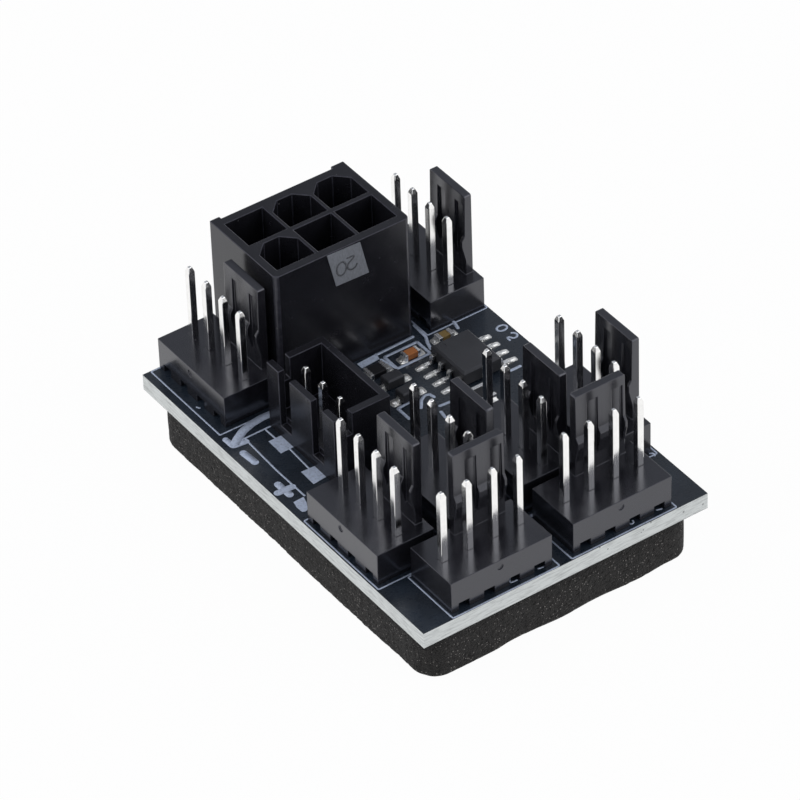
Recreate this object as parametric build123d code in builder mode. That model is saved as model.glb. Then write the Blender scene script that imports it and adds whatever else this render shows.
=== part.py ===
from build123d import *
import math
import os

os.makedirs("parts", exist_ok=True)

# A small black circuit board that shares fan power and speed signals.
# It lies on a foam pad and carries a six-way power socket, eight four-pin fan headers,
# one boxed three-pin header and a few small surface-mounted components.
# Origin: middle of the pad's underside. X along the board's short edge, Y along its
# long edge, Z up. All sizes in millimetres.

# Back row on the board, from its left edge to its right edge, and the width that this gives.
# The two outer fan headers stand sideways here, the power socket between them.
BASE_FRONT = -2.88
BASE_BACK = 2.84
BASE_W = BASE_BACK - BASE_FRONT
EDGE_TO_HEADER_1 = 1.72
HEADER_1_TO_SOCKET = 0.41
SOCKET_L = 13.8
SOCKET_TO_HEADER_2 = 1.42
HEADER_2_TO_EDGE = 0.21
SOCKET_X0 = EDGE_TO_HEADER_1 + BASE_W + HEADER_1_TO_SOCKET
HEADER_2_X0 = SOCKET_X0 + SOCKET_L + SOCKET_TO_HEADER_2

# Board and pad
BOARD_X = HEADER_2_X0 + BASE_W + HEADER_2_TO_EDGE
BOARD_Y = 41.5
BOARD_T = 1.6
PAD_T = 5.0
PAD_INSET = 0.7
PAD_CORNER_R = 2.4
BOARD_Z0 = PAD_T
BOARD_TOP = BOARD_Z0 + BOARD_T

# Solder side, shared by every pin row. Holes and joints have a few flat sides each.
HOLE_SIDES = 12
JOINT_SIDES = 8
SMALL_HOLE_R = 0.5
LARGE_HOLE_R = 0.9
TAIL_BELOW = 1.2
TAIL_BEVEL = 0.15
FILLET_H = 0.8
SMALL_FILLET_R = 0.85
LARGE_FILLET_R = 1.35
FILLET_NECK = 0.12
POCKET_GAP = 0.25
POCKET_DEPTH = TAIL_BELOW + POCKET_GAP

# Four-pin fan header
PITCH = 2.54
WAYS = 4
PIN_SQ = 0.64
PIN_TOP = 10.4
PIN_TIP_H = 0.45
PIN_TIP_SQ = 0.3
PIN_TIP_ANGLE = math.degrees(math.atan((PIN_SQ - PIN_TIP_SQ) / 2 / PIN_TIP_H))
BASE_L = WAYS * PITCH
BASE_H = 3.2
ROW_MID = (WAYS - 1) * PITCH / 2
WALL_START = 2.5
WALL_L = 5.12
WALL_BACK = 2.6
WALL_THIN = 0.75
WALL_LEAN = 0.08
WALL_TOP = 11.65
HOOK_DEPTH = 1.12
HOOK_RAMP_Z = 7.35
HOOK_Z = 6.9
HOOK_UNDER_Z = 6.3
HOOK_ROOT_Z = 4.7
WALL_CORNER = 0.12
GROOVE_W = 1.1
GROOVE_TOP = 10.6
GROOVE_FLOOR = 0.58
GROOVE_1 = 1.75
GROOVE_2 = GROOVE_1 + PITCH
FOOT_SLOT_W = 1.05
FOOT_SLOT_H = 0.75
FOOT_SLOT_DEPTH = 1.2
GATE_R = 0.3
GATE_DEPTH = 0.12
GATE_ALONG = 3.66
GATE_Z = 2.5

# Where each fan header's first pin stands, measured from the board's front left corner.
# Headers 4 and 5 run along the front edge, the others run back to front.
BACK_PIN_IN = 1.3
BACK_ROW_Y = BOARD_Y - BACK_PIN_IN
MIDDLE_ROW_Y = 15.95
FRONT_ROW_Y = 3.45
HEADER_1_X = EDGE_TO_HEADER_1 - BASE_FRONT
HEADER_2_X = HEADER_2_X0 - BASE_FRONT
HEADER_3_X = 3.35
HEADER_4_X = 4.5
HEADER_5_X = 16.8
HEADER_6_X = 10.7
HEADER_7_X = 18.12
HEADER_8_X = 25.6
HEADERS = {
    1: (HEADER_1_X, BACK_ROW_Y, "back to front"),
    2: (HEADER_2_X, BACK_ROW_Y, "back to front"),
    3: (HEADER_3_X, MIDDLE_ROW_Y, "back to front"),
    4: (HEADER_4_X, FRONT_ROW_Y, "left to right"),
    5: (HEADER_5_X, FRONT_ROW_Y, "left to right"),
    6: (HEADER_6_X, MIDDLE_ROW_Y, "back to front"),
    7: (HEADER_7_X, MIDDLE_ROW_Y, "back to front"),
    8: (HEADER_8_X, MIDDLE_ROW_Y, "back to front"),
}

# Six-way power socket, two rows of three cells
SOCKET_W = 9.6
SOCKET_H = 12.8
SOCKET_MID_X = SOCKET_X0 + SOCKET_L / 2
SOCKET_MID_Y = BOARD_Y - SOCKET_W / 2
CELL_PITCH = 4.2
CELL_X = 3.85
CELL_Y = 3.7
CELL_FLOOR = 2.4
CELL_CUT = 1.15
SOCKET_PIN_SQ = 1.07
SOCKET_PIN_TOP = 9.6
SOCKET_TIP_H = 0.7
SOCKET_TIP_ANGLE = 22.0
RIB_LEFT_W = 1.0
RIB_RIGHT_W = 1.3
RIB_OUT = 0.3
RIB_FOOT_Z = 1.5
LATCH_W = 3.4
LATCH_OUT = 0.9
LATCH_LOW_Z = 8.6
LATCH_HIGH_Z = 10.8
CELL_COLUMNS = (-CELL_PITCH, 0.0, CELL_PITCH)
CELL_ROWS = (-CELL_PITCH / 2, CELL_PITCH / 2)
# Cells with both back corners cut, so that the plug only goes in one way
CUT_CELLS = {(0.0, CELL_ROWS[1]), (CELL_PITCH, CELL_ROWS[1]), (-CELL_PITCH, CELL_ROWS[0])}

# Sticker on the socket's front face, its top left corner given along the board and above it
STICKER_T = 0.08
STICKER_FROM_SOCKET_END = 5.25
STICKER_TOP = 12.7
STICKER_W = 3.38
STICKER_H = 3.6
STICKER_LEAN = 0.78
STICKER_DROP = 0.1

# Boxed three-pin header
BOX_PITCH = 2.5
BOX_WAYS = 3
BOX_L = 9.9
BOX_W = 5.75
BOX_H = 7.0
BOX_X0 = 4.85
BOX_MID_Y = 24.3
BOX_PIN_IN = 2.35
BOX_PIN_TOP = 6.9
BOX_WALL = 0.65
BOX_END_WALL = 0.75
BOX_FLOOR = 1.8
BOX_SLOT_W = 1.6
BOX_SLOT_OFF = 2.4
BOX_SLOT_Z = 1.2
BOX_STEP_X = 1.85
BOX_STEP_Z = 4.8

# Eight-lead driver chip
CHIP_X = 22.9
CHIP_Y = 25.85
CHIP_W = 3.9
CHIP_L = 4.9
CHIP_GAP = 0.15
CHIP_H = 1.4
CHIP_BEVEL = 0.2
LEAD_PITCH = 1.27
LEAD_W = 0.42
LEAD_T = 0.2
LEAD_SPAN = 6.0
LEAD_FOOT = 0.65
LEAD_SHOULDER = 0.25
LEAD_Z = 0.85
LEAD_ROWS = (-1.5 * LEAD_PITCH, -0.5 * LEAD_PITCH, 0.5 * LEAD_PITCH, 1.5 * LEAD_PITCH)
CHIP_DIMPLE_R = 0.3
CHIP_DIMPLE_DEPTH = 0.06
CHIP_DIMPLE_IN = 0.75

# Two-ended chips: long side, width, height and the length of each metal end
LARGE_CHIP_L = 2.0
LARGE_CHIP_W = 1.25
CAPACITOR_1_H = 0.6
CAPACITOR_1_END = 0.3
RESISTOR_H = 0.55
RESISTOR_END = 0.38
SMALL_CHIP_L = 1.6
SMALL_CHIP_W = 0.8
CAPACITOR_2_H = 0.45
CAPACITOR_2_END = 0.42
END_PROUD = 0.03
CAPACITOR_1_X = 19.7
CAPACITOR_1_Y = 29.6
CAPACITOR_2_X = 23.5
CAPACITOR_2_Y = 29.95
RESISTOR_1_X = 16.05
RESISTOR_1_Y = 29.5
RESISTOR_2_X = 21.6
RESISTOR_2_Y = 21.5
RIGHT = (1, 0, 0)
LEFT = (-1, 0, 0)
BACK = (0, 1, 0)
FRONT = (0, -1, 0)
CAPACITOR_1_SIZE = (SMALL_CHIP_L, SMALL_CHIP_W, CAPACITOR_1_H, CAPACITOR_1_END)
CAPACITOR_2_SIZE = (SMALL_CHIP_L, SMALL_CHIP_W, CAPACITOR_2_H, CAPACITOR_2_END)
RESISTOR_SIZE = (LARGE_CHIP_L, LARGE_CHIP_W, RESISTOR_H, RESISTOR_END)
TWO_ENDED = {
    "capacitor_1": (CAPACITOR_1_X, CAPACITOR_1_Y, RIGHT, CAPACITOR_1_SIZE),
    "capacitor_2": (CAPACITOR_2_X, CAPACITOR_2_Y, RIGHT, CAPACITOR_2_SIZE),
    "resistor_1": (RESISTOR_1_X, RESISTOR_1_Y, RIGHT, RESISTOR_SIZE),
    "resistor_2": (RESISTOR_2_X, RESISTOR_2_Y, BACK, RESISTOR_SIZE),
}

# Small two-lead diodes
DIODE_X = 16.35
DIODE_1_Y = 27.5
DIODE_2_Y = 25.3
DIODES = {"diode_1": (DIODE_X, DIODE_1_Y), "diode_2": (DIODE_X, DIODE_2_Y)}
DIODE_L = 1.7
DIODE_W = 1.25
DIODE_H = 0.95
DIODE_SPAN = 2.6
DIODE_LEAD_W = 0.5
DIODE_LEAD_T = 0.16
DIODE_LEAD_Z = 0.45
DIODE_BEVEL = 0.12

# Solder wedges at the surface-mounted parts' ends: width, length and height of each
CHIP_SOLDER_W = 0.56
CHIP_SOLDER_L = 0.85
CHIP_SOLDER_H = 0.15
DIODE_SOLDER_W = 0.8
DIODE_SOLDER_L = 0.4
DIODE_SOLDER_H = 0.14
END_SOLDER_INSET = 0.06
END_SOLDER_L = 0.45
END_SOLDER_H = 0.35
SOLDER_EDGE = 0.03
CHIP_SOLDER = (CHIP_SOLDER_W, CHIP_SOLDER_L, CHIP_SOLDER_H)
DIODE_SOLDER = (DIODE_SOLDER_W, DIODE_SOLDER_L, DIODE_SOLDER_H)


def at(board_x, board_y, z=0.0):
    """A point given from the board's front left corner, in the part's own frame."""
    return (board_x - BOARD_X / 2, board_y - BOARD_Y / 2, z)


def header_seat(number, z):
    """Plane of a fan header: its x runs along the pins, its y points at the lock wall."""
    px, py, run = HEADERS[number]
    along = (1, 0, 0) if run == "left to right" else (0, -1, 0)
    return Plane(origin=at(px, py, z), x_dir=along, z_dir=(0, 0, 1))


def header_pin_points():
    return [(i * PITCH, 0) for i in range(WAYS)]


def socket_pin_points():
    return [(x, y) for x in CELL_COLUMNS for y in CELL_ROWS]


def box_pin_points():
    return [(0, (i - (BOX_WAYS - 1) / 2) * BOX_PITCH) for i in range(BOX_WAYS)]


def socket_seat(z):
    return Plane(origin=at(SOCKET_MID_X, SOCKET_MID_Y, z))


def box_pin_seat(z):
    return Plane(origin=at(BOX_X0 + BOX_PIN_IN, BOX_MID_Y, z))


def save(part, label):
    part.label = label
    export_step(part, f"parts/{label}.step")


# Circuit board with a plated hole for every pin
with BuildPart() as circuit_board:
    with BuildSketch(Plane.XY.offset(BOARD_Z0)):
        Rectangle(BOARD_X, BOARD_Y)
    extrude(amount=BOARD_T)
    for number in HEADERS:
        with BuildSketch(header_seat(number, BOARD_Z0)):
            with Locations(*header_pin_points()):
                RegularPolygon(SMALL_HOLE_R, HOLE_SIDES)
        extrude(amount=BOARD_T, mode=Mode.SUBTRACT)
    with BuildSketch(box_pin_seat(BOARD_Z0)):
        with Locations(*box_pin_points()):
            RegularPolygon(SMALL_HOLE_R, HOLE_SIDES)
    extrude(amount=BOARD_T, mode=Mode.SUBTRACT)
    with BuildSketch(socket_seat(BOARD_Z0)):
        with Locations(*socket_pin_points()):
            RegularPolygon(LARGE_HOLE_R, HOLE_SIDES)
    extrude(amount=BOARD_T, mode=Mode.SUBTRACT)
save(circuit_board.part, "circuit_board")

# Foam pad, pressed in under each row of pin tails
POCKET_W = 2 * (SMALL_FILLET_R + POCKET_GAP)
SOCKET_POCKET_W = 2 * (LARGE_FILLET_R + POCKET_GAP)
with BuildPart() as foam_pad:
    with BuildSketch():
        RectangleRounded(BOARD_X - 2 * PAD_INSET, BOARD_Y - 2 * PAD_INSET, PAD_CORNER_R)
    extrude(amount=PAD_T)
    for number in HEADERS:
        with BuildSketch(header_seat(number, PAD_T)):
            with Locations((ROW_MID, 0)):
                Rectangle(BASE_L - PITCH + POCKET_W, POCKET_W)
        extrude(amount=-POCKET_DEPTH, mode=Mode.SUBTRACT)
    with BuildSketch(box_pin_seat(PAD_T)):
        Rectangle(POCKET_W, (BOX_WAYS - 1) * BOX_PITCH + POCKET_W)
    extrude(amount=-POCKET_DEPTH, mode=Mode.SUBTRACT)
    with BuildSketch(socket_seat(PAD_T)):
        Rectangle(2 * CELL_PITCH + SOCKET_POCKET_W, CELL_PITCH + SOCKET_POCKET_W)
    extrude(amount=-POCKET_DEPTH, mode=Mode.SUBTRACT)
save(foam_pad.part, "foam_pad")

# Eight fan headers: a black housing and a row of four square pins each
TAIL_Z = BOARD_Z0 - TAIL_BELOW
for number in HEADERS:
    seat = header_seat(number, BOARD_TOP)
    along = seat.x_dir
    across = seat.y_dir
    wall_plane = Plane(
        origin=seat.from_local_coords((WALL_START, 0, 0)),
        x_dir=across,
        z_dir=along,
    )
    front_plane = Plane(
        origin=seat.from_local_coords((GATE_ALONG, BASE_FRONT, GATE_Z)),
        x_dir=along,
        z_dir=across,
    )
    wall_outline = (
        (WALL_BACK, BASE_H / 2),
        (WALL_BACK, WALL_TOP),
        (WALL_BACK - WALL_THIN, WALL_TOP),
        (WALL_BACK - WALL_THIN - WALL_LEAN, HOOK_RAMP_Z),
        (WALL_BACK - HOOK_DEPTH, HOOK_Z),
        (WALL_BACK - HOOK_DEPTH, HOOK_UNDER_Z),
        (WALL_BACK - WALL_THIN, HOOK_ROOT_Z),
        (WALL_BACK - WALL_THIN, BASE_H / 2),
    )
    with BuildPart() as fan_header_housing:
        with BuildSketch(seat):
            with Locations((ROW_MID, (BASE_FRONT + BASE_BACK) / 2)):
                Rectangle(BASE_L, BASE_BACK - BASE_FRONT)
        extrude(amount=BASE_H)
        # Lock wall, thickest at its hook
        with BuildSketch(wall_plane):
            with BuildLine():
                Polyline(*wall_outline, close=True)
            make_face()
        extrude(amount=WALL_L)
        top_face = fan_header_housing.faces().sort_by(Axis.Z)[-1]
        end_edges = top_face.edges().filter_by(Axis((0, 0, 0), tuple(across)))
        chamfer(end_edges, WALL_CORNER)
        # Two grooves down the hook
        with BuildSketch(seat.offset(HOOK_ROOT_Z)):
            with Locations(*[(WALL_START + g, WALL_BACK - GROOVE_FLOOR) for g in (GROOVE_1, GROOVE_2)]):
                Rectangle(GROOVE_W, HOOK_DEPTH, align=(Align.CENTER, Align.MAX))
        extrude(amount=GROOVE_TOP - HOOK_ROOT_Z, mode=Mode.SUBTRACT)
        # Open slots at the foot of the front face
        with BuildSketch(seat):
            with Locations(*[(i * PITCH, BASE_FRONT) for i in range(WAYS)]):
                Rectangle(FOOT_SLOT_W, 2 * FOOT_SLOT_DEPTH)
        extrude(amount=FOOT_SLOT_H, mode=Mode.SUBTRACT)
        # Moulding gate mark
        with BuildSketch(front_plane):
            Circle(GATE_R)
        extrude(amount=GATE_DEPTH, mode=Mode.SUBTRACT)
        with BuildSketch(seat):
            with Locations(*header_pin_points()):
                Rectangle(PIN_SQ, PIN_SQ)
        extrude(amount=BASE_H, mode=Mode.SUBTRACT)
    save(fan_header_housing.part, f"fan_header_{number}_housing")

    shank_top = BOARD_TOP + PIN_TOP - PIN_TIP_H
    with BuildPart() as fan_header_pins:
        with BuildSketch(header_seat(number, TAIL_Z)):
            with Locations(*header_pin_points()):
                Rectangle(PIN_SQ, PIN_SQ)
        extrude(amount=shank_top - TAIL_Z)
        with BuildSketch(header_seat(number, shank_top)):
            with Locations(*header_pin_points()):
                Rectangle(PIN_SQ, PIN_SQ)
        extrude(amount=PIN_TIP_H, taper=PIN_TIP_ANGLE)
        tail_ends = fan_header_pins.faces().group_by(Axis.Z)[0]
        chamfer(tail_ends.edges(), TAIL_BEVEL)
    save(fan_header_pins.part, f"fan_header_{number}_pins")

# Power socket housing: an open box of six cells, ribs at its back corners and a latch ramp
with BuildPart() as power_socket_housing:
    with BuildSketch(socket_seat(BOARD_TOP)):
        Rectangle(SOCKET_L, SOCKET_W)
    extrude(amount=SOCKET_H)
    with BuildSketch(socket_seat(BOARD_TOP + RIB_FOOT_Z)):
        with Locations((-SOCKET_L / 2, SOCKET_W / 2 + RIB_OUT)):
            Rectangle(RIB_LEFT_W, RIB_OUT + RIB_LEFT_W, align=(Align.MIN, Align.MAX))
        with Locations((SOCKET_L / 2, SOCKET_W / 2 + RIB_OUT)):
            Rectangle(RIB_RIGHT_W, RIB_OUT + RIB_LEFT_W, align=(Align.MAX, Align.MAX))
    extrude(amount=SOCKET_H - RIB_FOOT_Z)
    latch_plane = Plane(
        origin=at(SOCKET_MID_X - LATCH_W / 2, BOARD_Y, BOARD_TOP), x_dir=(0, 1, 0), z_dir=(1, 0, 0)
    )
    with BuildSketch(latch_plane):
        with BuildLine():
            Polyline(
                (-RIB_OUT, LATCH_LOW_Z),
                (LATCH_OUT, LATCH_LOW_Z),
                (0, LATCH_HIGH_Z),
                (-RIB_OUT, LATCH_HIGH_Z),
                close=True,
            )
        make_face()
    extrude(amount=LATCH_W)
    for x, y in socket_pin_points():
        with BuildSketch(socket_seat(BOARD_TOP + CELL_FLOOR)):
            with BuildLine():
                right = x + CELL_X / 2
                left = x - CELL_X / 2
                back = y + CELL_Y / 2
                front = y - CELL_Y / 2
                cut = CELL_CUT if (x, y) in CUT_CELLS else 0
                if cut:
                    Polyline(
                        (left, front),
                        (right, front),
                        (right, back - cut),
                        (right - cut, back),
                        (left + cut, back),
                        (left, back - cut),
                        close=True,
                    )
                else:
                    Polyline((left, front), (right, front), (right, back), (left, back), close=True)
            make_face()
        extrude(amount=SOCKET_H - CELL_FLOOR, mode=Mode.SUBTRACT)
    with BuildSketch(socket_seat(BOARD_TOP)):
        with Locations(*socket_pin_points()):
            Rectangle(SOCKET_PIN_SQ, SOCKET_PIN_SQ)
    extrude(amount=CELL_FLOOR, mode=Mode.SUBTRACT)
save(power_socket_housing.part, "power_socket_housing")

# Six square power pins
socket_shank_top = BOARD_TOP + SOCKET_PIN_TOP - SOCKET_TIP_H
with BuildPart() as power_socket_pins:
    with BuildSketch(socket_seat(TAIL_Z)):
        with Locations(*socket_pin_points()):
            Rectangle(SOCKET_PIN_SQ, SOCKET_PIN_SQ)
    extrude(amount=socket_shank_top - TAIL_Z)
    with BuildSketch(socket_seat(socket_shank_top)):
        with Locations(*socket_pin_points()):
            Rectangle(SOCKET_PIN_SQ, SOCKET_PIN_SQ)
    extrude(amount=SOCKET_TIP_H, taper=SOCKET_TIP_ANGLE)
save(power_socket_pins.part, "power_socket_pins")

# Grey paper patch, cut and stuck a little askew on the socket's front face
sticker_plane = Plane(
    origin=at(SOCKET_X0 + STICKER_FROM_SOCKET_END, BOARD_Y - SOCKET_W, BOARD_TOP + STICKER_TOP),
    x_dir=(1, 0, 0),
    z_dir=(0, -1, 0),
)
with BuildPart() as socket_sticker:
    with BuildSketch(sticker_plane):
        with BuildLine():
            Polyline(
                (0, 0),
                (STICKER_W, -STICKER_DROP),
                (STICKER_W + STICKER_LEAN, -STICKER_DROP - STICKER_H),
                (STICKER_LEAN, -STICKER_H),
                close=True,
            )
        make_face()
    extrude(amount=STICKER_T)
save(socket_sticker.part, "socket_sticker")

# Boxed header: a deep shroud with two slots down its left wall
box_middle = at(BOX_X0 + BOX_W / 2, BOX_MID_Y)
box_left = BOX_X0 - BOARD_X / 2
with BuildPart() as boxed_header_housing:
    with BuildSketch(Plane.XY.offset(BOARD_TOP)):
        with Locations(box_middle[:2]):
            Rectangle(BOX_W, BOX_L)
    extrude(amount=BOX_H)
    with BuildSketch(Plane.XY.offset(BOARD_TOP + BOX_FLOOR)):
        with Locations(box_middle[:2]):
            Rectangle(BOX_W - 2 * BOX_WALL, BOX_L - 2 * BOX_END_WALL)
    extrude(amount=BOX_H - BOX_FLOOR, mode=Mode.SUBTRACT)
    with BuildSketch(Plane.XY.offset(BOARD_TOP + BOX_SLOT_Z)):
        with Locations(*[(box_left, box_middle[1] + s * BOX_SLOT_OFF) for s in (-1, 1)]):
            Rectangle(2 * BOX_WALL, BOX_SLOT_W)
    extrude(amount=BOX_H - BOX_SLOT_Z, mode=Mode.SUBTRACT)
    with BuildSketch(Plane.XY.offset(BOARD_TOP + BOX_STEP_Z)):
        with Locations((box_left + (BOX_WALL + BOX_STEP_X) / 2, box_middle[1])):
            Rectangle(BOX_STEP_X - BOX_WALL, BOX_L)
    extrude(amount=BOX_H - BOX_STEP_Z, mode=Mode.SUBTRACT)
    with BuildSketch(box_pin_seat(BOARD_TOP)):
        with Locations(*box_pin_points()):
            Rectangle(PIN_SQ, PIN_SQ)
    extrude(amount=BOX_FLOOR, mode=Mode.SUBTRACT)
save(boxed_header_housing.part, "boxed_header_housing")

box_shank_top = BOARD_TOP + BOX_PIN_TOP - PIN_TIP_H
with BuildPart() as boxed_header_pins:
    with BuildSketch(box_pin_seat(TAIL_Z)):
        with Locations(*box_pin_points()):
            Rectangle(PIN_SQ, PIN_SQ)
    extrude(amount=box_shank_top - TAIL_Z)
    with BuildSketch(box_pin_seat(box_shank_top)):
        with Locations(*box_pin_points()):
            Rectangle(PIN_SQ, PIN_SQ)
    extrude(amount=PIN_TIP_H, taper=PIN_TIP_ANGLE)
save(boxed_header_pins.part, "boxed_header_pins")

# Solder joints under the board: each narrows from the board down to its pin tail
pin_rows = [(header_seat(n, BOARD_Z0), header_pin_points(), SMALL_FILLET_R, PIN_SQ) for n in HEADERS]
pin_rows.append((box_pin_seat(BOARD_Z0), box_pin_points(), SMALL_FILLET_R, PIN_SQ))
pin_rows.append((socket_seat(BOARD_Z0), socket_pin_points(), LARGE_FILLET_R, SOCKET_PIN_SQ))
with BuildPart() as solder_joints:
    for seat, points, radius, pin_side in pin_rows:
        neck = pin_side / math.sqrt(2) + FILLET_NECK
        with BuildSketch(seat):
            with Locations(*points):
                RegularPolygon(radius, JOINT_SIDES)
        domes = extrude(amount=-FILLET_H)
        chamfer(domes.faces().group_by(Axis.Z)[0].edges(), radius - neck)
        with BuildSketch(seat):
            with Locations(*points):
                Rectangle(pin_side, pin_side)
        extrude(amount=-FILLET_H, mode=Mode.SUBTRACT)
save(solder_joints.part, "solder_joints")

# Driver chip body, its top edges bevelled, with the first-lead dimple
with BuildPart() as chip_body:
    with BuildSketch(Plane(origin=at(CHIP_X, CHIP_Y, BOARD_TOP + CHIP_GAP))):
        Rectangle(CHIP_W, CHIP_L)
    extrude(amount=CHIP_H)
    chamfer(chip_body.faces().sort_by(Axis.Z)[-1].edges(), CHIP_BEVEL)
    with BuildSketch(Plane(origin=at(CHIP_X, CHIP_Y, BOARD_TOP + CHIP_GAP + CHIP_H))):
        with Locations((-CHIP_W / 2 + CHIP_DIMPLE_IN, CHIP_L / 2 - CHIP_DIMPLE_IN)):
            Circle(CHIP_DIMPLE_R)
    extrude(amount=-CHIP_DIMPLE_DEPTH, mode=Mode.SUBTRACT)
save(chip_body.part, "chip_body")

# Gull-wing leads, four on each long side
with BuildPart() as chip_leads:
    for side in (-1, 1):
        body = side * CHIP_W / 2
        knee = side * (CHIP_W / 2 + LEAD_SHOULDER)
        tip = side * LEAD_SPAN / 2
        heel = side * (LEAD_SPAN / 2 - LEAD_FOOT)
        lead_outline = (
            (body, LEAD_Z),
            (knee + side * LEAD_T / 2, LEAD_Z),
            (heel + side * LEAD_T / 2, LEAD_T),
            (tip, LEAD_T),
            (tip, 0),
            (heel - side * LEAD_T / 2, 0),
            (knee - side * LEAD_T / 2, LEAD_Z - LEAD_T),
            (body, LEAD_Z - LEAD_T),
        )
        for row in LEAD_ROWS:
            lead_plane = Plane(
                origin=at(CHIP_X, CHIP_Y + row - LEAD_W / 2, BOARD_TOP),
                x_dir=(1, 0, 0),
                z_dir=(0, -1, 0),
            )
            with BuildSketch(lead_plane):
                with BuildLine():
                    Polyline(*lead_outline, close=True)
                make_face()
            extrude(amount=-LEAD_W)
save(chip_leads.part, "chip_leads")

# Capacitors and resistors: a plain body between two soldered metal ends
for name, (cx, cy, along, (length, width, height, end)) in TWO_ENDED.items():
    body_plane = Plane(origin=at(cx, cy, BOARD_TOP + END_PROUD), x_dir=along, z_dir=(0, 0, 1))
    end_plane = Plane(origin=at(cx, cy, BOARD_TOP), x_dir=along, z_dir=(0, 0, 1))
    with BuildPart() as two_ended_body:
        with BuildSketch(body_plane):
            Rectangle(length - 2 * end, width)
        extrude(amount=height)
    save(two_ended_body.part, f"{name}_body")
    with BuildPart() as two_ended_ends:
        with BuildSketch(end_plane):
            with Locations(*[(s * (length - end) / 2, 0) for s in (-1, 1)]):
                Rectangle(end, width + 2 * END_PROUD)
        extrude(amount=height + 2 * END_PROUD)
    save(two_ended_ends.part, f"{name}_ends")

# Diodes: a small moulded body with one flat lead at each end
for name, (cx, cy) in DIODES.items():
    with BuildPart() as diode_body:
        with BuildSketch(Plane(origin=at(cx, cy, BOARD_TOP + DIODE_LEAD_T / 2))):
            Rectangle(DIODE_L, DIODE_W)
        extrude(amount=DIODE_H)
        chamfer(diode_body.faces().sort_by(Axis.Z)[-1].edges(), DIODE_BEVEL)
    save(diode_body.part, f"{name}_body")
    with BuildPart() as diode_leads:
        for side in (-1, 1):
            body = side * DIODE_L / 2
            tip = side * DIODE_SPAN / 2
            lead_outline = (
                (body, 0),
                (tip, 0),
                (tip, DIODE_LEAD_T),
                (body + side * DIODE_LEAD_T, DIODE_LEAD_T),
                (body + side * DIODE_LEAD_T, DIODE_LEAD_Z),
                (body, DIODE_LEAD_Z),
            )
            lead_plane = Plane(
                origin=at(cx, cy - DIODE_LEAD_W / 2, BOARD_TOP), x_dir=(1, 0, 0), z_dir=(0, -1, 0)
            )
            with BuildSketch(lead_plane):
                with BuildLine():
                    Polyline(*lead_outline, close=True)
                make_face()
            extrude(amount=-DIODE_LEAD_W)
    save(diode_leads.part, f"{name}_leads")

# Solder wedges between the board and the end of each lead or metal end
wedges = []
for row in LEAD_ROWS:
    wedges.append((CHIP_X + LEAD_SPAN / 2, CHIP_Y + row, RIGHT, CHIP_SOLDER))
    wedges.append((CHIP_X - LEAD_SPAN / 2, CHIP_Y + row, LEFT, CHIP_SOLDER))
for cx, cy in DIODES.values():
    wedges.append((cx + DIODE_SPAN / 2, cy, RIGHT, DIODE_SOLDER))
    wedges.append((cx - DIODE_SPAN / 2, cy, LEFT, DIODE_SOLDER))
for cx, cy, along, (length, width, height, end) in TWO_ENDED.values():
    size = (width - 2 * END_SOLDER_INSET, END_SOLDER_L, END_SOLDER_H)
    for way in (RIGHT, LEFT) if along == RIGHT else (BACK, FRONT):
        wedges.append((cx + way[0] * length / 2, cy + way[1] * length / 2, way, size))
with BuildPart() as surface_solder:
    for cx, cy, way, (width, length, height) in wedges:
        wedge_plane = Plane(origin=at(cx, cy, BOARD_TOP), x_dir=way, z_dir=(way[1], -way[0], 0))
        with BuildSketch(wedge_plane):
            with BuildLine():
                Polyline((0, 0), (0, height), (length, SOLDER_EDGE), (length, 0), close=True)
            make_face()
        extrude(amount=width / 2, both=True)
save(surface_solder.part, "surface_solder")
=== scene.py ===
"""The looks of a small fan hub board: finishes, printed marks, solder pads, foam and stage."""

import math

import bmesh
import bpy
from bpy.props import FloatProperty, FloatVectorProperty, PointerProperty
from mathutils import Matrix, Vector, noise
from mathutils.geometry import tessellate_polygon


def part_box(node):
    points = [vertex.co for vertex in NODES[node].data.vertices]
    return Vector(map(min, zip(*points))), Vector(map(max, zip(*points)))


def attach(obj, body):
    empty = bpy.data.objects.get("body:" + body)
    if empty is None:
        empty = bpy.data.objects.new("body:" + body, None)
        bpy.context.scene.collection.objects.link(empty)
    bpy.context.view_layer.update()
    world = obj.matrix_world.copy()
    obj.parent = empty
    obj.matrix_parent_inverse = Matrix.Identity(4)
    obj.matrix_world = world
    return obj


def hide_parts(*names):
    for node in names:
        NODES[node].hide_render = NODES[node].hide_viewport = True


bl_info = {
    "name": "Fan Hub Board",
    "version": (1, 0, 0),
    "blender": (4, 5, 0),
    "location": "3D View > Sidebar > Fan Hub",
    "description": "Finishes, prints and stages a small fan hub board",
    "category": "Object",
}

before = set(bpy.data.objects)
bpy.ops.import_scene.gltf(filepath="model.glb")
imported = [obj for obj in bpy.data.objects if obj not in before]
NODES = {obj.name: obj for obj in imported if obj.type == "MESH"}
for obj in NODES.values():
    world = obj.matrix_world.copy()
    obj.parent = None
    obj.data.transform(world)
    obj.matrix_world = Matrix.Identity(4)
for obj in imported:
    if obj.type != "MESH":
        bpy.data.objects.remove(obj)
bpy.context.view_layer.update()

MM = 0.001
PANEL_TAB = "Fan Hub"
BOARD_LOW, BOARD_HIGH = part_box("circuit_board")
HEADER_NUMBERS = range(1, 9)
DIODES = ("diode_1", "diode_2")
TWO_ENDED_PARTS = {
    "capacitor_1": "capacitor_ceramic",
    "capacitor_2": "pale_capacitor_ceramic",
    "resistor_1": "resistor_glaze",
    "resistor_2": "resistor_glaze",
}


# Settings


def length_setting(name, description, default):
    return FloatProperty(
        name=name,
        description=description,
        default=default,
        min=0.0,
        precision=5,
        subtype="DISTANCE",
        unit="LENGTH",
    )


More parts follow.
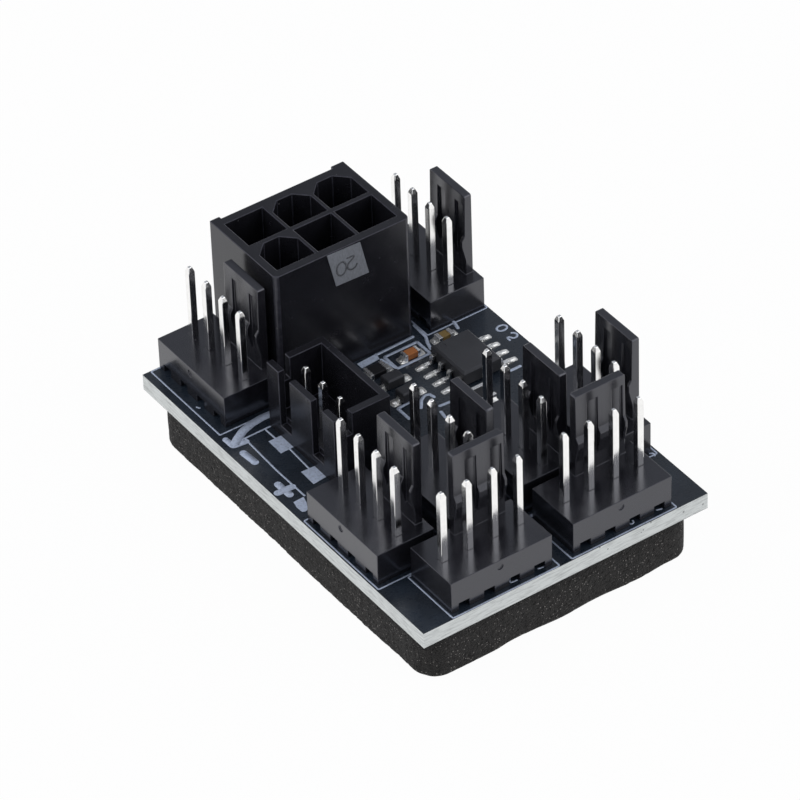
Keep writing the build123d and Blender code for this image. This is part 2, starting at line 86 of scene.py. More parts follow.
def angle_setting(name, description, degrees):
    return FloatProperty(
        name=name, description=description, default=math.radians(degrees), subtype="ANGLE"
    )


def power_setting(name, description, default):
    return FloatProperty(name=name, description=description, default=default, unit="POWER")


def colour_setting(name, description, default):
    return FloatVectorProperty(
        name=name, description=description, default=default, size=3, min=0.0, max=1.0, subtype="COLOR"
    )


class FanHubSizes(bpy.types.PropertyGroup):
    """Sizes of the details that the finish adds"""

    housing_edge: length_setting("Housing edge", "Radius on a moulded housing's edges", 0.07 * MM)
    pin_edge: length_setting("Pin edge", "Radius on a pin's long edges", 0.06 * MM)
    chip_edge: length_setting("Small part edge", "Radius on small moulded parts", 0.05 * MM)
    solder_edge: length_setting("Solder edge", "Radius on the solder at a lead's end", 0.06 * MM)
    ink_height: length_setting("Ink height", "Thickness of the printed marks", 0.02 * MM)
    socket_corner: length_setting("Socket corner", "Radius on the power socket's front corners", 0.42 * MM)
    outline_width: length_setting("Outline width", "Width of the printed header outlines", 0.15 * MM)
    line_width: length_setting("Line width", "Width of the printed lines between small parts", 0.3 * MM)
    fine_width: length_setting("Fine line width", "Width of the thinnest printed lines", 0.17 * MM)
    figure_width: length_setting("Figure width", "Width of the figures' strokes", 0.2 * MM)
    bold_width: length_setting("Bold width", "Width of the printed signs", 0.68 * MM)
    shaft_width: length_setting("Arrow shaft width", "Width of the arrow's shaft", 0.8 * MM)
    head_width: length_setting("Arrow head width", "Width of the arrow head's two strokes", 0.56 * MM)
    pen_corner: length_setting("Pen corner", "Radius where a printed line turns", 0.12 * MM)
    pad_height: length_setting("Pad height", "Thickness of the solder pads", 0.03 * MM)
    bead_height: length_setting("Bead height", "Height of the solder on a pad", 0.24 * MM)
    foam_step: length_setting("Foam step", "Spacing of the points on the foam's cut sides", 0.15 * MM)
    foam_depth: length_setting("Foam cell depth", "How deep the foam's cut cells go", 0.09 * MM)
    foam_wave: length_setting("Foam wave", "How far the foam's lower edge wanders inwards", 0.9 * MM)


class FanHubColours(bpy.types.PropertyGroup):
    """Colours of the finishes"""

    mask: colour_setting("Board coating", "Coating on the board's faces", (0.017, 0.024, 0.035))
    laminate: colour_setting("Laminate", "Bare edge of the board", (0.80, 0.82, 0.79))
    ink: colour_setting("Ink", "Printed marks", (0.54, 0.61, 0.76))
    housing: colour_setting("Housing", "Moulded plastic", (0.0105, 0.0105, 0.0135))
    tin: colour_setting("Tin", "Plated pins and leads", (0.95, 0.945, 0.935))
    solder: colour_setting("Solder", "Solder and tinned pads", (0.95, 0.945, 0.92))
    chip: colour_setting("Chip", "Moulded chip bodies", (0.036, 0.037, 0.041))
    orange_ceramic: colour_setting("Orange ceramic", "First capacitor", (0.46, 0.16, 0.045))
    ochre_ceramic: colour_setting("Ochre ceramic", "Second capacitor", (0.24, 0.16, 0.055))
    glaze: colour_setting("Glaze", "Top of the resistors", (0.012, 0.012, 0.013))
    sticker: colour_setting("Sticker", "Paper sticker", (0.20, 0.21, 0.235))
    foam: colour_setting("Foam", "Foam pad", (0.0158, 0.0146, 0.0136))


class FanHubStage(bpy.types.PropertyGroup):
    """Camera, lamps and floor"""

    lens: FloatProperty(name="Lens", description="Focal length", default=254.8, subtype="DISTANCE_CAMERA")
    azimuth: angle_setting("Azimuth", "Heading of the view", 33.846)
    elevation: angle_setting("Elevation", "Height of the view", 39.558)
    roll: angle_setting("Roll", "Tilt of the view", -2.133)
    distance: length_setting("Distance", "From the camera to its target", 481.73 * MM)
    key: power_setting("Key lamp", "Power of the large left lamp", 0.5)
    fill: power_setting("Fill lamp", "Power of the front lamp", 0.42)
    sky: FloatProperty(name="Sky", description="Strength of the even light", default=0.93, min=0.0)


# Node helpers

FLOAT = "NodeSocketFloat"
VECTOR = "NodeSocketVector"
GEOMETRY = "NodeSocketGeometry"
MATERIAL = "NodeSocketMaterial"

GROUPS = {}
MATERIALS = {}


def feed(tree, socket, value):
    """Joins an input to another node's output, or gives it a value."""
    if isinstance(value, bpy.types.NodeSocket):
        tree.links.new(value, socket)
    else:
        socket.default_value = value


def add_node(tree, kind, links=None, **settings):
    """A node whose inputs are set from values or joined to other nodes' outputs."""
    node = tree.nodes.new(kind)
    for key, value in settings.items():
        setattr(node, key, value)
    for key, value in (links or {}).items():
        feed(tree, node.inputs[key], value)
    return node


def made(tree, kind, links=None, **settings):
    """The first output of a new node."""
    return add_node(tree, kind, links, **settings).outputs[0]


def math_node(tree, operation, first, second=0.0, clamp=False):
    return made(tree, "ShaderNodeMath", {0: first, 1: second}, operation=operation, use_clamp=clamp)


def height_of(tree, place):
    return add_node(tree, "ShaderNodeSeparateXYZ", {"Vector": place}).outputs["Z"]


def stretched(tree, place, scale):
    """Coordinates that draw a pattern out along each axis with a small scale."""
    return made(tree, "ShaderNodeMapping", {"Vector": place, "Scale": scale})


def noise_at(tree, place, scale, detail, roughness=0.5):
    links = {"Vector": place, "Scale": scale, "Detail": detail, "Roughness": roughness}
    return made(tree, "ShaderNodeTexNoise", links)


def ramp(tree, factor, stops):
    """A colour ramp from (position, grey or colour) stops."""
    node = add_node(tree, "ShaderNodeValToRGB", {"Fac": factor})
    elements = node.color_ramp.elements
    while len(elements) < len(stops):
        elements.new(0.5)
    for element, (position, value) in zip(elements, stops):
        element.position = position
        shade = (value, value, value) if isinstance(value, float) else tuple(value)
        element.color = (*shade, 1.0)
    return node.outputs["Color"]


def blend_colours(tree, factor, first, second, blend_type="MIX"):
    node = add_node(tree, "ShaderNodeMix", data_type="RGBA", blend_type=blend_type)
    feed(tree, node.inputs[0], factor)
    for socket, value in ((node.inputs[6], first), (node.inputs[7], second)):
        feed(tree, socket, value if isinstance(value, bpy.types.NodeSocket) else (*value, 1.0))
    return node.outputs[2]


def scaled(colour, share, base=0.0):
    return tuple(base + share * c for c in colour)


def fresh_tree(owner, output_kind):
    """The emptied node tree of a material or world, and the socket that its surface goes to."""
    owner.use_nodes = True
    tree = owner.node_tree
    tree.nodes.clear()
    return tree, tree.nodes.new(output_kind).inputs["Surface"]


def new_group(name, inputs, outputs, kind="ShaderNodeTree"):
    """A node group with named sockets, kept under its name; inputs are (name, kind, default)."""
    tree = bpy.data.node_groups.new(name, kind)
    GROUPS[name] = tree
    for label, socket_kind, default in inputs:
        socket = tree.interface.new_socket(label, in_out="INPUT", socket_type=socket_kind)
        if default is not None:
            socket.default_value = default
    for label, socket_kind in outputs:
        tree.interface.new_socket(label, in_out="OUTPUT", socket_type=socket_kind)
    return tree, tree.nodes.new("NodeGroupInput").outputs, tree.nodes.new("NodeGroupOutput").inputs


# Shader groups

SPECK_THRESHOLD = 0.8
FINE_GRAIN = 4.7


def speckle_group():
    """Fine mottling with scattered specks, for dust, moulding flow and paper."""
    tree, given, result = new_group(
        "speckle",
        [("Vector", VECTOR, None), ("Scale", FLOAT, 1000.0), ("Speck Size", FLOAT, 0.2)],
        [("Mottle", FLOAT), ("Specks", FLOAT)],
    )
    cloud = noise_at(tree, given["Vector"], given["Scale"], detail=6.0, roughness=0.6)
    cells = add_node(tree, "ShaderNodeTexVoronoi", {"Vector": given["Vector"], "Scale": given["Scale"]})
    near = math_node(tree, "LESS_THAN", cells.outputs["Distance"], given["Speck Size"])
    chosen = math_node(tree, "GREATER_THAN", cells.outputs["Color"], SPECK_THRESHOLD)
    tree.links.new(cloud, result["Mottle"])
    tree.links.new(math_node(tree, "MULTIPLY", near, chosen), result["Specks"])


def grain_group():
    """A height for moulded or blasted surfaces, coarse and fine together."""
    tree, given, result = new_group(
        "grain",
        [("Vector", VECTOR, None), ("Scale", FLOAT, 3000.0), ("Fine Share", FLOAT, 0.4)],
        [("Height", FLOAT)],
    )
    coarse = noise_at(tree, given["Vector"], given["Scale"], detail=3.0)
    fine_scale = math_node(tree, "MULTIPLY", given["Scale"], FINE_GRAIN)
    fine = noise_at(tree, given["Vector"], fine_scale, detail=2.0)
    share = math_node(tree, "MULTIPLY", fine, given["Fine Share"])
    tree.links.new(math_node(tree, "ADD", coarse, share), result["Height"])


def edge_highlight_group():
    """Painted highlight along rounded edges: the piece's own edge mark, broken up by noise."""
    tree, given, result = new_group(
        "worn_edge",
        [("Vector", VECTOR, None), ("Edge", FLOAT, 0.0), ("Scale", FLOAT, 900.0), ("Amount", FLOAT, 0.5)],
        [("Mask", FLOAT)],
    )
    patches = noise_at(tree, given["Vector"], given["Scale"], detail=4.0)
    kept = math_node(tree, "MULTIPLY", patches, given["Amount"])
    doubled = math_node(tree, "MULTIPLY", kept, 2.0)
    mask = math_node(tree, "MULTIPLY", doubled, given["Edge"], clamp=True)
    tree.links.new(mask, result["Mask"])


def speckle_at(tree, place, scale, speck_size):
    """The mottle and the specks of the speckle group."""
    links = {"Vector": place, "Scale": scale, "Speck Size": speck_size}
    node = add_node(tree, "ShaderNodeGroup", links, node_tree=GROUPS["speckle"])
    return node.outputs["Mottle"], node.outputs["Specks"]


def grain_at(tree, place, scale, fine_share):
    links = {"Vector": place, "Scale": scale, "Fine Share": fine_share}
    return made(tree, "ShaderNodeGroup", links, node_tree=GROUPS["grain"])


# Materials

COATING = 0.02 * MM
BARE_EDGE_ROUGHNESS = 0.75
# Depth below the foam's top that the painted shade covers
FOAM_SHADE_DEPTH = 2.2 * MM
COOL_SHINE = (0.9, 0.91, 1.0, 1.0)

# Moulded finishes: name, colour, low and high roughness, brightness of the painted edge highlight,
# scale and depth in millimetres of the grain, and refraction
MOULDED_FINISHES = (
    ("black_housing", "housing", (0.17, 0.25), 2.4, 1400.0, 0.006, 1.75),
    ("socket_housing", "housing", (0.2, 0.28), 4.5, 900.0, 0.004, 1.43),
    ("chip_epoxy", "chip", (0.5, 0.68), 1.5, 5200.0, 0.03, 1.5),
    ("capacitor_ceramic", "orange_ceramic", (0.45, 0.6), 1.2, 5200.0, 0.02, 1.5),
    ("pale_capacitor_ceramic", "ochre_ceramic", (0.45, 0.6), 1.2, 5200.0, 0.02, 1.5),
    ("resistor_glaze", "glaze", (0.25, 0.4), 2.0, 4200.0, 0.01, 1.5),
)


def new_material(name):
    """An empty material with its shader, output and the object's own coordinates."""
    material = bpy.data.materials.new(name)
    tree, surface = fresh_tree(material, "ShaderNodeOutputMaterial")
    shader = tree.nodes.new("ShaderNodeBsdfPrincipled")
    tree.links.new(shader.outputs["BSDF"], surface)
    place = tree.nodes.new("ShaderNodeTexCoord").outputs["Object"]
    MATERIALS[name] = material
    return tree, shader, place


def set_surface(tree, shader, colour, rough, height=None, strength=0.3, depth=0.01 * MM, metallic=0.0):
    """Joins a colour, a roughness and a bump height to a material's shader."""
    tree.links.new(colour, shader.inputs["Base Color"])
    tree.links.new(rough, shader.inputs["Roughness"])
    shader.inputs["Metallic"].default_value = metallic
    if height is not None:
        links = {"Strength": strength, "Distance": depth, "Height": height}
        tree.links.new(made(tree, "ShaderNodeBump", links), shader.inputs["Normal"])


def moulded_material(name, colour, roughness, edge_highlight_gain, grain_scale, grain_depth, ior):
    """Moulded plastic or epoxy: flow mottling, fine grain, dust specks and a painted highlight on rounded
    edges.
    """
    tree, shader, place = new_material(name)
    mottle, specks = speckle_at(tree, place, scale=700.0, speck_size=0.06)
    edge = add_node(tree, "ShaderNodeAttribute", attribute_name="worn").outputs["Fac"]
    links = {"Vector": place, "Edge": edge, "Scale": 1500.0, "Amount": 0.8}
    worn = made(tree, "ShaderNodeGroup", links, node_tree=GROUPS["worn_edge"])
    base = ramp(tree, mottle, [(0.3, scaled(colour, 0.85)), (0.7, scaled(colour, 1.2))])
    # Painted highlight: the marked rounded edges are lightened, broken up by noise.
    edge_lit = blend_colours(tree, worn, base, scaled(colour, edge_highlight_gain))
    dusty = blend_colours(tree, specks, edge_lit, scaled(colour, 2.0, base=0.05))
    rough = ramp(tree, mottle, [(0.3, roughness[0]), (0.7, roughness[1])])
    grain = grain_at(tree, place, grain_scale, fine_share=0.4)
    set_surface(tree, shader, dusty, rough, grain, strength=0.2, depth=grain_depth)
    shader.inputs["IOR"].default_value = ior
    shader.inputs["Specular Tint"].default_value = COOL_SHINE


def drawn_metal_material(name, colour, roughness, stretch):
    """Plated metal with drawing marks along Z and dull patches."""
    tree, shader, place = new_material(name)
    long_place = stretched(tree, place, (1.0, 1.0, stretch))
    streaks = noise_at(tree, long_place, scale=9000.0, detail=4.0, roughness=0.65)
    mottle, specks = speckle_at(tree, place, scale=1100.0, speck_size=0.08)
    base = ramp(tree, mottle, [(0.35, scaled(colour, 0.93)), (0.6, colour)])
    spotted = blend_colours(tree, specks, base, scaled(colour, 0.8))
    rough = ramp(tree, streaks, [(0.3, roughness[0]), (0.75, roughness[1])])
    set_surface(tree, shader, spotted, rough, streaks, strength=0.08, depth=0.002 * MM, metallic=1.0)


def melted_metal_material(name, colour):
    """Solder: bright, a little lumpy, with a grey skin in places."""
    tree, shader, place = new_material(name)
    mottle, _ = speckle_at(tree, place, scale=2600.0, speck_size=0.1)
    base = ramp(tree, mottle, [(0.35, scaled(colour, 0.84)), (0.5, colour)])
    rough = ramp(tree, mottle, [(0.3, 0.5), (0.6, 0.32)])
    lumps = grain_at(tree, place, scale=2400.0, fine_share=0.25)
    set_surface(tree, shader, base, rough, lumps, strength=0.3, depth=0.02 * MM, metallic=1.0)


def board_material(colours):
    """Dark coating on both faces and a pale, layered laminate on the cut edges."""
    tree, shader, place = new_material("board_laminate")
    middle = (BOARD_LOW.z + BOARD_HIGH.z) / 2
    half = (BOARD_HIGH.z - BOARD_LOW.z) / 2
    from_middle = math_node(tree, "ABSOLUTE", math_node(tree, "SUBTRACT", height_of(tree, place), middle))
    coated = math_node(tree, "GREATER_THAN", from_middle, half - COATING)

    flat_place = stretched(tree, place, (0.12, 0.12, 1.0))
    weave = noise_at(tree, flat_place, scale=5200.0, detail=5.0, roughness=0.7)
    mottle, specks = speckle_at(tree, place, scale=1500.0, speck_size=0.16)
    edge = ramp(tree, weave, [(0.3, scaled(colours.laminate, 0.62)), (0.55, colours.laminate)])
    edge = blend_colours(tree, specks, edge, scaled(colours.laminate, 0.4))

    sheen = noise_at(tree, place, scale=260.0, detail=3.0)
    mask = ramp(tree, sheen, [(0.35, scaled(colours.mask, 0.8)), (0.68, scaled(colours.mask, 1.4))])
    mask_rough = ramp(tree, mottle, [(0.3, 0.22), (0.7, 0.34)])
    rough = blend_colours(tree, coated, (BARE_EDGE_ROUGHNESS,) * 3, mask_rough)
    relief = math_node(tree, "MULTIPLY", weave, math_node(tree, "SUBTRACT", 1.0, coated))
    base = blend_colours(tree, coated, edge, mask)
    set_surface(tree, shader, base, rough, relief, strength=0.6, depth=0.05 * MM)


def ink_material(colours):
    """Printed ink, a little thin and speckled."""
    tree, shader, place = new_material("printed_ink")
    mottle, specks = speckle_at(tree, place, scale=4200.0, speck_size=0.22)
    base = ramp(tree, mottle, [(0.32, scaled(colours.ink, 0.72)), (0.55, colours.ink)])
    base = blend_colours(tree, specks, base, scaled(colours.ink, 0.5))
    set_surface(tree, shader, base, ramp(tree, mottle, [(0.3, 0.7), (0.7, 0.5)]), mottle)


def paper_material(colours):
    """Matt grey paper with short fibres."""
    tree, shader, place = new_material("sticker_paper")
    long_place = stretched(tree, place, (1.0, 1.0, 0.3))
    fibres = noise_at(tree, long_place, scale=9000.0, detail=4.0, roughness=0.7)
    base = ramp(tree, fibres, [(0.3, scaled(colours.sticker, 0.8)), (0.7, scaled(colours.sticker, 1.15))])
    set_surface(tree, shader, base, ramp(tree, fibres, [(0.3, 0.9), (0.7, 0.65)]), fibres)


def faint_print_material(colours):
    """Worn dark figures on the sticker."""
    tree, shader, place = new_material("faint_print")
    mottle, _ = speckle_at(tree, place, scale=5200.0, speck_size=0.2)
    base = ramp(tree, mottle, [(0.4, scaled(colours.sticker, 0.3)), (0.6, scaled(colours.sticker, 0.55))])
    set_surface(tree, shader, base, ramp(tree, mottle, [(0.3, 0.8), (0.7, 0.6)]))


def foam_material(colours):
    """Closed-cell foam cut with a blade: dark cells with slightly brown, matt walls, and a painted shade
    near its top.
    """
    tree, shader, place = new_material("foam")
    cells = made(tree, "ShaderNodeTexVoronoi", {"Vector": place, "Scale": 7800.0})
    mottle, specks = speckle_at(tree, place, scale=6200.0, speck_size=0.36)
    patches = noise_at(tree, place, scale=420.0, detail=4.0)
    long_place = stretched(tree, place, (1.0, 1.0, 0.1))
    streaks = ramp(tree, noise_at(tree, long_place, scale=4600.0, detail=3.0), [(0.35, 0.45), (0.65, 1.0)])
    base = ramp(tree, cells, [(0.1, scaled(colours.foam, 0.35)), (0.65, scaled(colours.foam, 2.1))])
    aged = blend_colours(tree, patches, base, scaled(colours.foam, 1.3))
    streaked = blend_colours(tree, 1.0, aged, streaks, blend_type="MULTIPLY")
    specked = blend_colours(tree, specks, streaked, scaled(colours.foam, 13.0))

    # Painted shade: the foam's colour darkens towards its top, where the board overhangs it.
    foam_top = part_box("foam_pad")[1].z
    below_top = math_node(tree, "SUBTRACT", foam_top, height_of(tree, place))
    out_of_painted_shade = math_node(tree, "DIVIDE", below_top, FOAM_SHADE_DEPTH, clamp=True)
    painted_shade_colour = blend_colours(tree, out_of_painted_shade, scaled(colours.foam, 0.35), specked)
    rough = ramp(tree, cells, [(0.1, 1.0), (0.7, 0.72)])
    relief = math_node(tree, "ADD", cells, mottle)
    set_surface(tree, shader, painted_shade_colour, rough, relief, strength=0.8, depth=0.09 * MM)
    shader.inputs["Specular IOR Level"].default_value = 0.3
    shader.inputs["Sheen Weight"].default_value = 0.02
    shader.inputs["Sheen Roughness"].default_value = 0.6


# Mesh helpers

MERGE_DISTANCE = 0.002 * MM
FLAT_ANGLE = math.radians(1.0)
SHARP_ANGLE = math.radians(20.0)
CORNER_REACH = 0.01 * MM
CORNER_SEGMENTS = 6
# Share of the painted edge highlight on the power socket's rounded front corners
CORNER_HIGHLIGHT_SHARE = 0.7


def on_board(x, y, lift=0.0):
    """A point in millimetres from the board's front left corner, lifted above its top."""
    return Vector((BOARD_LOW.x + x * MM, BOARD_LOW.y + y * MM, BOARD_HIGH.z + lift * MM))


def new_object(name, data):
    made_object = bpy.data.objects.new(name, data)
    bpy.context.scene.collection.objects.link(made_object)
    return made_object


def dress(mesh, material):
    mesh.materials.clear()
    mesh.materials.append(MATERIALS[material])


def add_piece(name, mesh, material):
    """Puts a finished mesh in the scene as a piece of the object."""
    mesh.name = name
    dress(mesh, material)
    piece = new_object(name, mesh)
    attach(piece, "root")
    return piece


def finished_mesh(bm):
    mesh = bpy.data.meshes.new("mesh")
    bmesh.ops.recalc_face_normals(bm, faces=bm.faces)
    bm.to_mesh(mesh)
    bm.free()
    return mesh


def front_corners(bm, node):
    """The long upright edges at the two front corners of a piece."""
    low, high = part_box(node)
    found = []
    for edge in bm.edges:
        a, b = (v.co for v in edge.verts)
        on_front = abs(a.y - low.y) + abs(b.y - low.y) < CORNER_REACH
        at_side = min(abs(a.x - low.x), abs(a.x - high.x)) < CORNER_REACH
        if on_front and at_side and abs(a.z - b.z) > (high.z - low.z) / 2:
            found.append(edge)
    return found


def round_edges(bm, edges, radius, segments, worn, highlight_share):
    """Rounds edges and marks the new faces with how much painted highlight they get."""
    rounded = bmesh.ops.bevel(
        bm,
        geom=edges,
        offset=radius,
        offset_type="OFFSET",
        segments=segments,
        profile=0.5,
        affect="EDGES",
        clamp_overlap=True,
    )
    for face in rounded["faces"]:
        face[worn] = highlight_share


def rounded_copy(node, material, radius, segments=2, corner=0.0):
    """A copy of a CAD piece with its sharp edges rounded and marked, shown in its place."""
    bm = bmesh.new()
    bm.from_mesh(NODES[node].data)
    bmesh.ops.remove_doubles(bm, verts=bm.verts, dist=MERGE_DISTANCE)
    bmesh.ops.dissolve_limit(bm, angle_limit=FLAT_ANGLE, verts=bm.verts, edges=bm.edges)
    worn = bm.faces.layers.float.new("worn")
    if corner:
        round_edges(bm, front_corners(bm, node), corner, CORNER_SEGMENTS, worn, CORNER_HIGHLIGHT_SHARE)
    sharp = [e for e in bm.edges if e.is_manifold and e.calc_face_angle(0.0) > SHARP_ANGLE]
    round_edges(bm, sharp, radius, segments, worn, 1.0)
    piece = add_piece(f"{node}_finished", finished_mesh(bm), material)
    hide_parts(node)


def mark_sizes(mesh, first, sizes):
    """Gives the points of a mesh, from the first on, the length and width that a tree reads."""
    layer = mesh.attributes.new("size", "FLOAT_VECTOR", "POINT")
    for entry, (length, width) in zip(layer.data[first:], sizes):
        entry.vector = (length, width, 0.0)


# Geometry trees

ROUND_STEPS = 4
DOT_SIDES = 20
DOT_SHARE = 0.98
WELD_DISTANCE = 0.0001
BEAD_SHARE = 0.43
BEAD_SEGMENTS = 16
BEAD_RINGS = 10
PAD_CORNER_SHARE = 0.22


def new_geometry_tree(name, inputs):
    """A geometry tree that takes a material after its other inputs and gives a mesh."""
    inputs = [*inputs, ("Material", MATERIAL, None)]
    return new_group(name, inputs, [("Geometry", GEOMETRY)], "GeometryNodeTree")


def joined(tree, parts):
    node = add_node(tree, "GeometryNodeJoinGeometry")
    for part in parts:
        tree.links.new(part, node.inputs[0])
    return node.outputs[0]


def finish_tree(tree, parts, given, result):
    """Joins the parts of a geometry tree, makes them real and gives them their material."""
    real = made(tree, "GeometryNodeRealizeInstances", {"Geometry": joined(tree, parts)})
    dressed = made(tree, "GeometryNodeSetMaterial", {"Geometry": real, "Material": given["Material"]})
    tree.links.new(dressed, result[0])


def point_size(tree):
    """The length and the width that each point carries."""
    size = made(tree, "GeometryNodeInputNamedAttribute", {"Name": "size"}, data_type="FLOAT_VECTOR")
    split = add_node(tree, "ShaderNodeSeparateXYZ", {"Vector": size})
    return split.outputs["X"], split.outputs["Y"]


def copies(tree, points, shape, size):
    """A copy of a shape on every point, with its own length, width and height."""
    scale = made(tree, "ShaderNodeCombineXYZ", dict(zip("XYZ", size)))
    links = {"Points": points, "Instance": shape, "Scale": scale}
    return made(tree, "GeometryNodeInstanceOnPoints", links)


def printed_line_tree():
    """Lines of one width along a mesh's edges, with rounded corners and round ends."""
    tree, given, result = new_geometry_tree(
        "printed_line",
        [
            ("Path", GEOMETRY, None),
            ("Width", FLOAT, 0.15 * MM),
            ("Thickness", FLOAT, 0.02 * MM),
            ("Corner Radius", FLOAT, 0.1 * MM),
        ],
    )
    path = made(tree, "GeometryNodeMeshToCurve", {"Mesh": given["Path"]})
    links = {"Curve": path, "Radius": given["Corner Radius"], "Count": ROUND_STEPS, "Limit Radius": True}
    soft = made(tree, "GeometryNodeFilletCurve", links, mode="POLY")
    level = made(tree, "GeometryNodeSetCurveNormal", {"Curve": soft}, mode="Z_UP")
    links = {"Width": given["Width"], "Height": given["Thickness"]}
    section = made(tree, "GeometryNodeCurvePrimitiveQuadrilateral", links, mode="RECTANGLE")
    links = {"Curve": level, "Profile Curve": section, "Fill Caps": True}
    swept = made(tree, "GeometryNodeCurveToMesh", links)
    closed = made(tree, "GeometryNodeInputSplineCyclic")
    is_open = made(tree, "FunctionNodeBooleanMath", {0: closed}, operation="NOT")
    ends = made(tree, "GeometryNodeCurveEndpointSelection")
    loose = made(tree, "FunctionNodeBooleanMath", {0: ends, 1: is_open}, operation="AND")
    radius = math_node(tree, "MULTIPLY", given["Width"], 0.5)
    depth = math_node(tree, "MULTIPLY", given["Thickness"], DOT_SHARE)
    links = {"Vertices": DOT_SIDES, "Radius": radius, "Depth": depth}
    dot = made(tree, "GeometryNodeMeshCylinder", links)
    links = {"Points": path, "Selection": loose, "Instance": dot}
    dots = made(tree, "GeometryNodeInstanceOnPoints", links)
    finish_tree(tree, (swept, dots), given, result)


def solder_pad_tree():
    """A thin pad with rounded corners and a bead on every point, as long and wide as its size."""
    tree, given, result = new_geometry_tree(
        "solder_pad",
        [
            ("Points", GEOMETRY, None),
            ("Thickness", FLOAT, 0.03 * MM),
            ("Corner Share", FLOAT, 0.2),
            ("Bead Height", FLOAT, 0.15 * MM),
        ],
    )
    links = {"Width": 1.0, "Height": 1.0}
    square = made(tree, "GeometryNodeCurvePrimitiveQuadrilateral", links, mode="RECTANGLE")
    links = {"Curve": square, "Radius": given["Corner Share"], "Count": ROUND_STEPS}
    soft = made(tree, "GeometryNodeFilletCurve", links, mode="POLY")
    face = made(tree, "GeometryNodeFillCurve", {"Curve": soft}, mode="NGONS")
    raised = made(tree, "GeometryNodeExtrudeMesh", {"Mesh": face, "Offset Scale": 1.0}, mode="FACES")
    under = made(tree, "GeometryNodeFlipFaces", {"Mesh": face})
    links = {"Geometry": joined(tree, (raised, under)), "Distance": WELD_DISTANCE}
    solid = made(tree, "GeometryNodeMergeByDistance", links)
    length, width = point_size(tree)
    pads = copies(tree, given["Points"], solid, (length, width, given["Thickness"]))
    links = {"Segments": BEAD_SEGMENTS, "Rings": BEAD_RINGS, "Radius": 1.0}
    bead = made(tree, "GeometryNodeMeshUVSphere", links)
    half_length = math_node(tree, "MULTIPLY", length, BEAD_SHARE)
    half_width = math_node(tree, "MULTIPLY", width, BEAD_SHARE)
    beads = copies(tree, given["Points"], bead, (half_length, half_width, given["Bead Height"]))
    finish_tree(tree, (pads, beads), given, result)


def foam_hollow_tree():
    """Cuts a box-shaped hollow into a body at each loose point, as long and as wide as its size."""
    tree, given, result = new_geometry_tree(
        "foam_hollow", [("Body And Points", GEOMETRY, None), ("Depth", FLOAT, 1.0 * MM)]
    )
    length, width = point_size(tree)
    is_hollow = math_node(tree, "GREATER_THAN", length, 0.0)
    links = {"Geometry": given["Body And Points"], "Selection": is_hollow}
    parts = add_node(tree, "GeometryNodeSeparateGeometry", links, domain="POINT")
    block = made(tree, "GeometryNodeMeshCube", {"Size": (1.0, 1.0, 1.0)})
    double_depth = math_node(tree, "MULTIPLY", given["Depth"], 2.0)
    blocks = copies(tree, parts.outputs["Selection"], block, (length, width, double_depth))
    cutters = made(tree, "GeometryNodeRealizeInstances", {"Geometry": blocks})
    links = {"Mesh 1": parts.outputs["Inverted"], "Mesh 2": cutters}
    cut = made(tree, "GeometryNodeMeshBoolean", links, operation="DIFFERENCE", solver="EXACT")
    finish_tree(tree, (cut,), given, result)


def grown_mesh(source, tree, values):
    """The plain mesh that a geometry tree makes from a source mesh."""
    carrier = new_object("carrier", source)
    modifier = carrier.modifiers.new("growth", "NODES")
    modifier.node_group = tree
    for item in tree.interface.items_tree:
        if item.item_type == "SOCKET" and item.in_out == "INPUT" and item.name in values:
            modifier[item.identifier] = values[item.name]
    carrier.update_tag()
    depsgraph = bpy.context.evaluated_depsgraph_get()
    mesh = bpy.data.meshes.new_from_object(carrier.evaluated_get(depsgraph))
    carrier.modifiers.remove(modifier)
    bpy.data.objects.remove(carrier)
    bpy.data.meshes.remove(source)
    return mesh


# Printed marks

# Printed outline round each fan header, and the other lines: points in board millimetres
HEADER_OUTLINES = (
    (0.8, 30.77, 7.5, 41.38),
    (22.55, 31.08, 28.88, 41.38),
    (0.2, 6.62, 6.5, 17.36),
    (3.01, 0.1, 13.76, 6.42),
    (15.07, 0.15, 25.86, 6.45),
    (7.55, 6.62, 13.85, 17.36),
    (14.95, 6.62, 21.25, 17.36),
    (22.4, 6.62, 28.75, 17.36),
)
CAPACITOR_BOX = (17.85, 28.95, 21.3, 30.9)
PART_LINES = (
    [(17.5, 31.58), (21.4, 31.68)],
    [(22.42, 32.9), (22.3, 31.0), (21.94, 30.24), (21.7, 29.4)],
    [(17.46, 30.75), (17.8, 29.15)],
    [(25.42, 31.2), (25.2, 30.3)],
    [(16.3, 24.68), (14.79, 24.55), (14.78, 22.9)],
    [(16.42, 23.45), (17.07, 24.29), (17.62, 24.6), (18.05, 24.5), (18.15, 23.97)],
    [(17.86, 22.69), (18.95, 22.61)],
    [(17.47, 21.99), (17.34, 21.2)],
    [(25.45, 22.88), (26.4, 22.88)],
)
FINE_LINES = (
    [(2.25, 29.0), (2.19, 28.3), (2.03, 24.0), (2.06, 20.0)],
    [(1.95, 29.15), (4.85, 29.17)],
    [(4.29, 29.0), (4.31, 27.6)],
    [(4.5, 25.8), (4.34, 22.5)],
)
